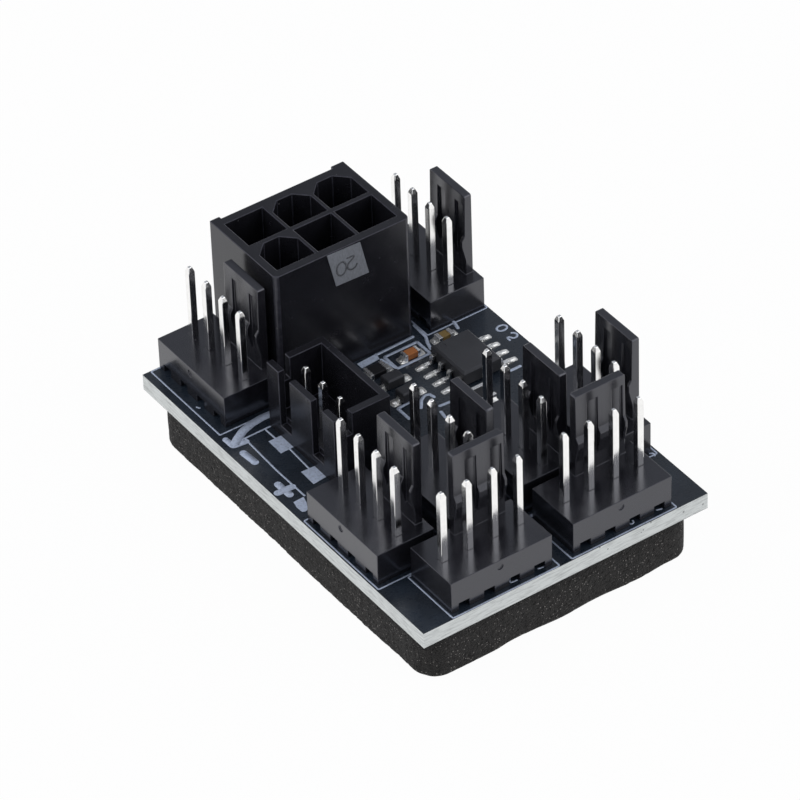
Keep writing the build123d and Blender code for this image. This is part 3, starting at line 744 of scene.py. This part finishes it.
# Ends of small figures that show in the open slots at the headers' feet
SLOT_MARKS = (
    [(9.74, 1.6), (9.22, 0.82), (9.9, 0.76)],
    [(12.16, 0.84), (12.62, 0.78)],
    [(21.62, 1.15), (21.47, 0.85), (21.62, 0.7), (21.85, 0.74), (21.93, 0.98)],
    [(24.35, 0.84), (24.74, 0.74)],
    [(1.28, 35.05), (1.42, 34.8)],
    [(28.27, 6.96), (28.5, 6.8), (28.41, 6.5)],
)
INK_PATCHES = (
    [(15.46, 30.81), (17.4, 30.96), (17.55, 31.7), (15.47, 31.57)],
    [(3.56, 25.69), (5.02, 25.73), (5.14, 27.62), (3.61, 27.62)],
    [(3.5, 20.75), (4.85, 20.89), (4.92, 22.62), (3.55, 22.69)],
    [(0.68, 19.13), (0.72, 18.42), (1.0, 18.26), (1.3, 18.4), (1.7, 19.2), (1.89, 19.91), (0.84, 19.86)],
)
ARROW_LINE = [(5.9, 30.5), (4.95, 30.55), (3.72, 30.4), (2.66, 30.05), (1.81, 29.55), (1.05, 29.0)]
ARROW_HEAD = [(0.84, 30.0), (0.88, 28.88), (2.1, 28.74)]
ARROW_BEND = 0.6 * MM
MINUS_LINE = [(1.07, 27.64), (1.18, 26.06)]
PLUS_LINES = ([(1.1, 22.52), (1.14, 20.84)], [(0.46, 21.62), (1.86, 21.55)])

# Heights of the prints above the board in millimetres: those that cross differ a little
PATCH_LIFT = 0.002
PRINT_LIFT = 0.01
FINE_LIFT = 0.011
CROSSING_LIFT = 0.012
TOP_LIFT = 0.014

# Two plain figures on the board's right edge, and two on the sticker: middle of each
BOARD_FIGURES = (("0", 28.22, 28.02), ("2", 28.28, 26.62))
BOARD_FIGURE_SIZE = (0.72, 0.98)
BOARD_FIGURE_TURN = -90.0
STICKER_FIGURES = (("0", 1.38, -1.98), ("2", 2.48, -1.84))
STICKER_FIGURE_SIZE = (0.98, 1.4)
STICKER_FIGURE_TURN = 180.0
STICKER_PEN = 0.18 * MM
# Start and end in degrees, and steps, of the arc in each figure
ZERO_ARC = (0, 340, 17)
TWO_ARC = (165, -40, 10)


def drawn_lines(paths, width, sizes, material, corner=None):
    """A mesh of printed lines; each path is its points in metres and whether it is closed."""
    points, edges = [], []
    for path, closed in paths:
        start = len(points)
        points += path
        edges += [(start + i, start + i + 1) for i in range(len(path) - 1)]
        if closed:
            edges.append((len(points) - 1, start))
    source = bpy.data.meshes.new("paths")
    source.from_pydata(points, edges, [])
    values = {
        "Width": width,
        "Thickness": sizes.ink_height,
        "Corner Radius": sizes.pen_corner if corner is None else corner,
        "Material": MATERIALS[material],
    }
    return grown_mesh(source, GROUPS["printed_line"], values)


def add_plate(bm, points, height):
    """A thin flat plate from a ring of points."""
    low = [bm.verts.new(p) for p in points]
    high = [bm.verts.new(p + Vector((0.0, 0.0, height))) for p in points]
    bm.faces.new(high)
    bm.faces.new(low[::-1])
    for i in range(len(points)):
        j = (i + 1) % len(points)
        bm.faces.new((low[i], low[j], high[j], high[i]))


def arc(cx, cy, rx, ry, start, end, steps):
    """Points on an ellipse, angles in degrees, in board millimetres."""
    found = []
    for i in range(steps + 1):
        turn = math.radians(start + (end - start) * i / steps)
        found.append((cx + rx * math.cos(turn), cy + ry * math.sin(turn)))
    return found


def box_path(x0, y0, x1, y1):
    return [(x0, y0), (x1, y0), (x1, y1), (x0, y1)]


def figure_path(figure, middle_x, middle_y, size, turn):
    """A plain 0 or 2 about its middle, turned by an angle in degrees, and whether it is closed."""
    width, height = size
    half_w, half_h = width / 2, height / 2
    if figure == "0":
        path = arc(0.0, 0.0, half_w, half_h, *ZERO_ARC)
    else:
        path = arc(0.0, half_h - half_w, half_w, half_w, *TWO_ARC)
        path += [(-half_w, -half_h), (half_w, -half_h)]
    cosine, sine = math.cos(math.radians(turn)), math.sin(math.radians(turn))
    turned = [(middle_x + x * cosine - y * sine, middle_y + x * sine + y * cosine) for x, y in path]
    return turned, figure == "0"


def board_paths(paths, closed=False, lift=PRINT_LIFT):
    return [([on_board(x, y, lift) for x, y in path], closed) for path in paths]


class FANHUB_OT_silk_print(bpy.types.Operator):
    """Prints the outlines, lines, signs and figures on the board's top"""

    bl_idname = "fanhub.silk_print"
    bl_label = "Printed marks"

    def execute(self, context):
        sizes = context.scene.fanhub_sizes
        outlines = board_paths([box_path(*box) for box in HEADER_OUTLINES], closed=True)
        part_lines = board_paths([box_path(*CAPACITOR_BOX)], closed=True)
        part_lines += board_paths(PART_LINES, lift=CROSSING_LIFT)
        fine_lines = board_paths([*FINE_LINES, *SLOT_MARKS], lift=FINE_LIFT)
        figures = []
        for figure, x, y in BOARD_FIGURES:
            path, closed = figure_path(figure, x, y, BOARD_FIGURE_SIZE, BOARD_FIGURE_TURN)
            figures += board_paths([path], closed)
        signs = board_paths([MINUS_LINE, PLUS_LINES[0]]) + board_paths([PLUS_LINES[1]], lift=TOP_LIFT)
        prints = (
            ("header_outlines", outlines, sizes.outline_width, None),
            ("part_lines", part_lines, sizes.line_width, None),
            ("fine_lines", fine_lines, sizes.fine_width, None),
            ("board_figures", figures, sizes.figure_width, None),
            ("printed_signs", signs, sizes.bold_width, None),
            ("arrow_shaft", board_paths([ARROW_LINE], lift=TOP_LIFT), sizes.shaft_width, ARROW_BEND),
            ("arrow_head", board_paths([ARROW_HEAD], lift=CROSSING_LIFT), sizes.head_width, None),
        )
        for name, paths, width, corner in prints:
            mesh = drawn_lines(paths, width, sizes, "printed_ink", corner)
            add_piece(name, mesh, "printed_ink")

        patches = bmesh.new()
        for points in INK_PATCHES:
            add_plate(patches, [on_board(x, y, PATCH_LIFT) for x, y in points], sizes.ink_height)
        add_piece("printed_patches", finished_mesh(patches), "printed_ink")
        return {"FINISHED"}


# Finishes on the CAD pieces


class FANHUB_OT_finishes(bpy.types.Operator):
    """Makes the shared node groups and every finish"""

    bl_idname = "fanhub.finishes"
    bl_label = "Finishes"

    def execute(self, context):
        colours = context.scene.fanhub_colours
        for make_group in (speckle_group, grain_group, edge_highlight_group):
            make_group()
        for make_tree in (printed_line_tree, solder_pad_tree, foam_hollow_tree):
            make_tree()
        board_material(colours)
        ink_material(colours)
        paper_material(colours)
        faint_print_material(colours)
        foam_material(colours)
        for name, colour, roughness, edge_highlight_gain, grain_scale, grain_depth, ior in MOULDED_FINISHES:
            shade = getattr(colours, colour)
            moulded_material(name, shade, roughness, edge_highlight_gain, grain_scale, grain_depth * MM, ior)
        drawn_metal_material("tinned_pin", colours.tin, (0.12, 0.22), stretch=0.04)
        drawn_metal_material("component_metal", colours.tin, (0.2, 0.36), stretch=0.5)
        melted_metal_material("solder", colours.solder)
        return {"FINISHED"}


class FANHUB_OT_board(bpy.types.Operator):
    """Coats the circuit board"""

    bl_idname = "fanhub.board"
    bl_label = "Circuit board"

    def execute(self, context):
        dress(NODES["circuit_board"].data, "board_laminate")
        dress(NODES["solder_joints"].data, "solder")
        return {"FINISHED"}


class FANHUB_OT_fan_headers(bpy.types.Operator):
    """Rounds and finishes the eight fan headers and their pins"""

    bl_idname = "fanhub.fan_headers"
    bl_label = "Fan headers"

    def execute(self, context):
        sizes = context.scene.fanhub_sizes
        for number in HEADER_NUMBERS:
            rounded_copy(f"fan_header_{number}_housing", "black_housing", sizes.housing_edge)
            rounded_copy(f"fan_header_{number}_pins", "tinned_pin", sizes.pin_edge)
        return {"FINISHED"}


class FANHUB_OT_sockets(bpy.types.Operator):
    """Rounds and finishes the power socket, its pins and sticker, and the boxed header"""

    bl_idname = "fanhub.sockets"
    bl_label = "Power socket and boxed header"

    def execute(self, context):
        sizes = context.scene.fanhub_sizes
        for name, corner in (("power_socket", sizes.socket_corner), ("boxed_header", 0.0)):
            housing = f"{name}_housing"
            rounded_copy(housing, "socket_housing", sizes.housing_edge, corner=corner)
            rounded_copy(f"{name}_pins", "tinned_pin", sizes.pin_edge)
        dress(NODES["socket_sticker"].data, "sticker_paper")
        self.add_sticker_figures(sizes)
        return {"FINISHED"}

    def add_sticker_figures(self, sizes):
        """Two worn figures, printed upside down on the sticker."""
        low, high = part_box("socket_sticker")
        corner = Vector((low.x, low.y, high.z))
        paths = []
        for figure, x, y in STICKER_FIGURES:
            path, closed = figure_path(figure, x, y, STICKER_FIGURE_SIZE, STICKER_FIGURE_TURN)
            paths.append(([Vector((u * MM, v * MM, 0.0)) for u, v in path], closed))
        mesh = drawn_lines(paths, STICKER_PEN, sizes, "faint_print")
        mesh.transform(Matrix.Translation(corner) @ Matrix.Rotation(math.radians(90.0), 4, "X"))
        add_piece("sticker_figures", mesh, "faint_print")


class FANHUB_OT_small_parts(bpy.types.Operator):
    """Finishes the driver chip, capacitors, resistors, diodes and their solder"""

    bl_idname = "fanhub.small_parts"
    bl_label = "Small parts"

    def execute(self, context):
        sizes = context.scene.fanhub_sizes
        radius = sizes.chip_edge
        rounded_copy("chip_body", "chip_epoxy", radius)
        rounded_copy("chip_leads", "component_metal", radius / 2)
        for name, finish in TWO_ENDED_PARTS.items():
            rounded_copy(f"{name}_body", finish, radius)
            rounded_copy(f"{name}_ends", "component_metal", radius)
        for name in DIODES:
            rounded_copy(f"{name}_body", "chip_epoxy", radius)
            rounded_copy(f"{name}_leads", "component_metal", radius / 2)
        rounded_copy("surface_solder", "solder", sizes.solder_edge, segments=3)
        return {"FINISHED"}


# Solder pads

LEAD_PITCH = 1.27 * MM
LEAD_ROWS = 4
CHIP_PAD = (1.15 * MM, 0.56 * MM)
CHIP_PAD_OUT = 0.36 * MM
DIODE_PAD = (0.95 * MM, 0.95 * MM)
END_PAD_LENGTH = 0.85 * MM
END_PAD_OUT = 0.08 * MM
END_PAD_SPARE = 0.1 * MM


def solder_pads():
    """Middle and size of each solder pad under the surface-mounted parts."""
    found = []
    low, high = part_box("chip_leads")
    for row in range(LEAD_ROWS):
        y = (low.y + high.y) / 2 + (row - (LEAD_ROWS - 1) / 2) * LEAD_PITCH
        for x in (low.x - CHIP_PAD_OUT, high.x + CHIP_PAD_OUT):
            found.append((x, y, CHIP_PAD))
    for name in DIODES:
        low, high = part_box(f"{name}_leads")
        for x in (low.x, high.x):
            found.append((x, (low.y + high.y) / 2, DIODE_PAD))
    for name in TWO_ENDED_PARTS:
        low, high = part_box(f"{name}_ends")
        middle_x, middle_y = (low.x + high.x) / 2, (low.y + high.y) / 2
        if high.x - low.x > high.y - low.y:
            size = (END_PAD_LENGTH, high.y - low.y + END_PAD_SPARE)
            found += [(x, middle_y, size) for x in (low.x - END_PAD_OUT, high.x + END_PAD_OUT)]
        else:
            size = (high.x - low.x + END_PAD_SPARE, END_PAD_LENGTH)
            found += [(middle_x, y, size) for y in (low.y - END_PAD_OUT, high.y + END_PAD_OUT)]
    return found


class FANHUB_OT_solder_pads(bpy.types.Operator):
    """Lays a tinned pad under each end and lead of the surface-mounted parts"""

    bl_idname = "fanhub.solder_pads"
    bl_label = "Solder pads"

    def execute(self, context):
        sizes = context.scene.fanhub_sizes
        pads = solder_pads()
        source = bpy.data.meshes.new("pad_points")
        source.from_pydata([(x, y, BOARD_HIGH.z) for x, y, _ in pads], [], [])
        mark_sizes(source, 0, [size for _, _, size in pads])
        values = {
            "Thickness": sizes.pad_height,
            "Corner Share": PAD_CORNER_SHARE,
            "Bead Height": sizes.bead_height,
            "Material": MATERIALS["solder"],
        }
        add_piece("solder_pads", grown_mesh(source, GROUPS["solder_pad"], values), "solder")
        return {"FINISHED"}


# Foam pad

FOAM_CORNER = 2.4 * MM
POCKET_GROW = 0.78 * MM
SOCKET_POCKET_GROW = 1.065 * MM
POCKET_DEPTH = 1.45 * MM

# Patterns on the cut sides, in turns per metre
CELL_SCALE = 2600.0
SWELL_SCALE = 330.0
STREAK_SCALE = 1900.0
STREAK_RISE = 260.0
WAVE_SCALE = 150.0

# Depth of the streaks and swells beside that of a cell, and how far a cell reaches from its middle
STREAK_SHARE = 0.5
SWELL_SHARE = 0.8
CELL_REACH = 0.45
# Share of the height that the cut edges take, and how far they fall back
EDGE_SHARE = 0.04
EDGE_FALL = 4.0 * MM
# How much less the lower edge wanders on the left and right sides
SIDE_CALM = 0.8


def rounded_ring(low, high, radius, step):
    """Evenly spaced points round a rectangle with rounded corners, with outward directions."""
    left, right = low.x + radius, high.x - radius
    front, back = low.y + radius, high.y - radius
    centres = [Vector((x, y, 0.0)) for x, y in ((right, back), (left, back), (left, front), (right, front))]
    points = []
    arc_steps = max(4, round(radius * math.pi / 2 / step))
    for index, centre in enumerate(centres):
        for i in range(arc_steps + 1):
            turn = math.radians(90.0 * index + 90.0 * i / arc_steps)
            out = Vector((math.cos(turn), math.sin(turn), 0.0))
            here = centre + out * radius
            points.append((here, out))
        points.pop()
        there = centres[(index + 1) % 4] + out * radius
        run = max(1, round((there - here).length / step))
        points += [(here.lerp(there, i / run), out) for i in range(run)]
    return points


def foam_point(sizes, point, out, z, rise):
    """A point of the foam's cut side; rise goes from 0 at its foot to 1 at its top."""
    here = Vector((point.x, point.y, z))
    cell = noise.voronoi(here * CELL_SCALE)[0]
    pit = max(0.0, CELL_REACH - cell[0]) / CELL_REACH if 0.0 < rise < 1.0 else 0.0
    swell = noise.noise(here * SWELL_SCALE)
    streak = noise.noise(Vector((point.x * STREAK_SCALE, point.y * STREAK_SCALE, z * STREAK_RISE)))
    inset = sizes.foam_depth * (pit + STREAK_SHARE * max(0.0, streak) + SWELL_SHARE * abs(swell))
    inset += max(0.0, EDGE_SHARE - min(rise, 1.0 - rise)) * EDGE_FALL
    wave = max(0.0, noise.noise(Vector((point.x * WAVE_SCALE, point.y * WAVE_SCALE, 0.0))))
    front = 1.0 - SIDE_CALM * abs(out.x)
    inset += sizes.foam_wave * wave * front * (1.0 - rise) ** 2
    return here - out * inset


def foam_body(sizes, low, high):
    """The foam pad before its hollows are cut."""
    ring = rounded_ring(low, high, FOAM_CORNER, sizes.foam_step)
    rows = round((high.z - low.z) / sizes.foam_step)
    bm = bmesh.new()
    levels = []
    for level in range(rows + 1):
        z = low.z + (high.z - low.z) * level / rows
        levels.append([bm.verts.new(foam_point(sizes, *place, z, level / rows)) for place in ring])
    for below, above in zip(levels, levels[1:]):
        for i in range(len(ring)):
            j = (i + 1) % len(ring)
            bm.faces.new((below[i], below[j], above[j], above[i]))
    for loop in (levels[0], levels[-1]):
        for tri in tessellate_polygon([[v.co for v in loop]]):
            bm.faces.new([loop[i] for i in tri])
    return bm


def pocket_boxes():
    """Footprint of each hollow pressed into the foam by a row of pin tails."""
    found = []
    rows = [f"fan_header_{n}" for n in HEADER_NUMBERS] + ["boxed_header", "power_socket"]
    for row in rows:
        low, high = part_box(f"{row}_pins")
        grow = SOCKET_POCKET_GROW if row == "power_socket" else POCKET_GROW
        found.append((low.x - grow, low.y - grow, high.x + grow, high.y + grow))
    return found


class FANHUB_OT_foam_pad(bpy.types.Operator):
    """Makes the foam pad with open cells on its cut sides and hollows under the pin tails"""

    bl_idname = "fanhub.foam_pad"
    bl_label = "Foam pad"

    def execute(self, context):
        sizes = context.scene.fanhub_sizes
        low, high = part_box("foam_pad")
        bm = foam_body(sizes, low, high)
        hollows = pocket_boxes()
        body_count = len(bm.verts)
        for x0, y0, x1, y1 in hollows:
            bm.verts.new(((x0 + x1) / 2, (y0 + y1) / 2, high.z))
        source = finished_mesh(bm)
        mark_sizes(source, body_count, [(x1 - x0, y1 - y0) for x0, y0, x1, y1 in hollows])
        values = {"Depth": POCKET_DEPTH, "Material": MATERIALS["foam"]}
        pad = add_piece("foam_pad_cells", grown_mesh(source, GROUPS["foam_hollow"], values), "foam")
        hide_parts("foam_pad")
        return {"FINISHED"}


# Stage

# Point of the board that the camera looks at, in board millimetres, and the picture's shift
TARGET = (15.624, 26.283)
VIEW_SHIFT = (0.00743, -0.00669)
SENSOR_WIDTH = 36.0
CLIP_START = 0.02

LAMP_SIZE = 0.30
KEY_PLACE = (-0.30, 0.12, 0.32)
FILL_PLACE = (0.233, -0.268, 0.277)
FLOOR_HALF = 3.0
FLOOR_COLOUR = (0.88, 0.88, 0.885, 1.0)
FLOOR_GLOW = 0.97
WHITE = (1.0, 1.0, 1.0, 1.0)
SKY_STOPS = [
    (0.0, (1.0, 1.0, 1.0)),
    (0.18, (0.96, 0.97, 1.0)),
    (0.52, (0.36, 0.38, 0.42)),
    (1.0, (0.5, 0.52, 0.56)),
]


def area_lamp(name, offset, target, power):
    data = bpy.data.lights.new(name, "AREA")
    data.shape = "RECTANGLE"
    data.size = LAMP_SIZE
    data.size_y = LAMP_SIZE
    data.energy = power
    lamp = new_object(name, data)
    lamp.location = target + Vector(offset)
    lamp.rotation_euler = (-Vector(offset)).to_track_quat("-Z", "Y").to_euler()


class FANHUB_OT_stage(bpy.types.Operator):
    """Sets up the pale floor, the soft lamps and the camera"""

    bl_idname = "fanhub.stage"
    bl_label = "Stage"

    def execute(self, context):
        scene = context.scene
        stage = scene.fanhub_stage
        self.add_floor()
        self.add_world(scene, stage.sky)
        middle = on_board(*TARGET)
        area_lamp("key_lamp", KEY_PLACE, middle, stage.key)
        area_lamp("fill_lamp", FILL_PLACE, middle, stage.fill)
        self.add_camera(scene, stage, middle)
        scene.view_settings.view_transform = "Standard"
        return {"FINISHED"}

    def add_floor(self):
        """A plain white floor that keeps a soft shadow."""
        half = FLOOR_HALF
        corners = [(-half, -half, 0), (half, -half, 0), (half, half, 0), (-half, half, 0)]
        mesh = bpy.data.meshes.new("floor")
        mesh.from_pydata(corners, [], [(0, 1, 2, 3)])
        floor = new_object("floor", mesh)
        material = bpy.data.materials.new("floor_paper")
        tree, surface = fresh_tree(material, "ShaderNodeOutputMaterial")
        paper = made(tree, "ShaderNodeBsdfDiffuse", {"Color": FLOOR_COLOUR})
        glow = made(tree, "ShaderNodeEmission", {"Color": WHITE, "Strength": 1.0})
        ray = tree.nodes.new("ShaderNodeLightPath").outputs
        seen = math_node(tree, "MAXIMUM", ray["Is Camera Ray"], ray["Is Glossy Ray"])
        seen = math_node(tree, "MAXIMUM", seen, ray["Is Transmission Ray"])
        share = math_node(tree, "MULTIPLY", seen, FLOOR_GLOW)
        tree.links.new(made(tree, "ShaderNodeMixShader", {0: share, 1: paper, 2: glow}), surface)
        mesh.materials.append(material)

    def add_world(self, scene, strength):
        """White to the camera, and an even soft sky for the light."""
        world = bpy.data.worlds.new("soft_sky")
        tree, surface = fresh_tree(world, "ShaderNodeOutputWorld")
        backdrop = made(tree, "ShaderNodeBackground", {"Color": WHITE, "Strength": 1.0})
        way = tree.nodes.new("ShaderNodeTexCoord").outputs["Generated"]
        shade = ramp(tree, height_of(tree, way), SKY_STOPS)
        sky = made(tree, "ShaderNodeBackground", {"Color": shade, "Strength": strength})
        ray = tree.nodes.new("ShaderNodeLightPath").outputs
        links = {0: ray["Is Camera Ray"], 1: sky, 2: backdrop}
        tree.links.new(made(tree, "ShaderNodeMixShader", links), surface)
        scene.world = world

    def add_camera(self, scene, stage, middle):
        """The photo's own view of the board."""
        az, el, roll = stage.azimuth, stage.elevation, stage.roll
        forward = Vector((math.sin(az) * math.cos(el), math.cos(az) * math.cos(el), -math.sin(el)))
        level = Vector((math.cos(az), -math.sin(az), 0.0))
        up = level.cross(forward)
        right = level * math.cos(roll) + up * math.sin(roll)
        upward = up * math.cos(roll) - level * math.sin(roll)
        data = bpy.data.cameras.new("camera")
        data.lens = stage.lens
        data.sensor_width = SENSOR_WIDTH
        data.shift_x, data.shift_y = VIEW_SHIFT
        data.clip_start = CLIP_START
        camera = new_object("camera", data)
        turn = Matrix((right, upward, -forward)).transposed().to_4x4()
        camera.matrix_world = Matrix.Translation(middle - forward * stage.distance) @ turn
        scene.camera = camera


# Panel and registration


class FANHUB_PT_panel(bpy.types.Panel):
    """Lists the steps and their settings"""

    bl_label = "Fan Hub Board"
    bl_space_type = "VIEW_3D"
    bl_region_type = "UI"
    bl_category = PANEL_TAB

    def draw(self, context):
        layout = self.layout
        for operator in OPERATORS:
            layout.operator(operator.bl_idname)
        for setting in SETTINGS:
            group = getattr(context.scene, setting)
            box = layout.box()
            for name in group.__annotations__:
                box.prop(group, name)


OPERATORS = (
    FANHUB_OT_finishes,
    FANHUB_OT_board,
    FANHUB_OT_silk_print,
    FANHUB_OT_fan_headers,
    FANHUB_OT_sockets,
    FANHUB_OT_small_parts,
    FANHUB_OT_solder_pads,
    FANHUB_OT_foam_pad,
    FANHUB_OT_stage,
)
SETTINGS = {"fanhub_sizes": FanHubSizes, "fanhub_colours": FanHubColours, "fanhub_stage": FanHubStage}
CLASSES = (*SETTINGS.values(), *OPERATORS, FANHUB_PT_panel)


def register():
    for cls in CLASSES:
        bpy.utils.register_class(cls)
    for name, group in SETTINGS.items():
        setattr(bpy.types.Scene, name, PointerProperty(type=group))


def unregister():
    for name in SETTINGS:
        delattr(bpy.types.Scene, name)
    for cls in reversed(CLASSES):
        bpy.utils.unregister_class(cls)


def main():
    register()
    bpy.ops.fanhub.finishes()
    bpy.ops.fanhub.board()
    bpy.ops.fanhub.silk_print()
    bpy.ops.fanhub.fan_headers()
    bpy.ops.fanhub.sockets()
    bpy.ops.fanhub.small_parts()
    bpy.ops.fanhub.solder_pads()
    bpy.ops.fanhub.foam_pad()
    bpy.ops.fanhub.stage()


if __name__ == "__main__":
    main()
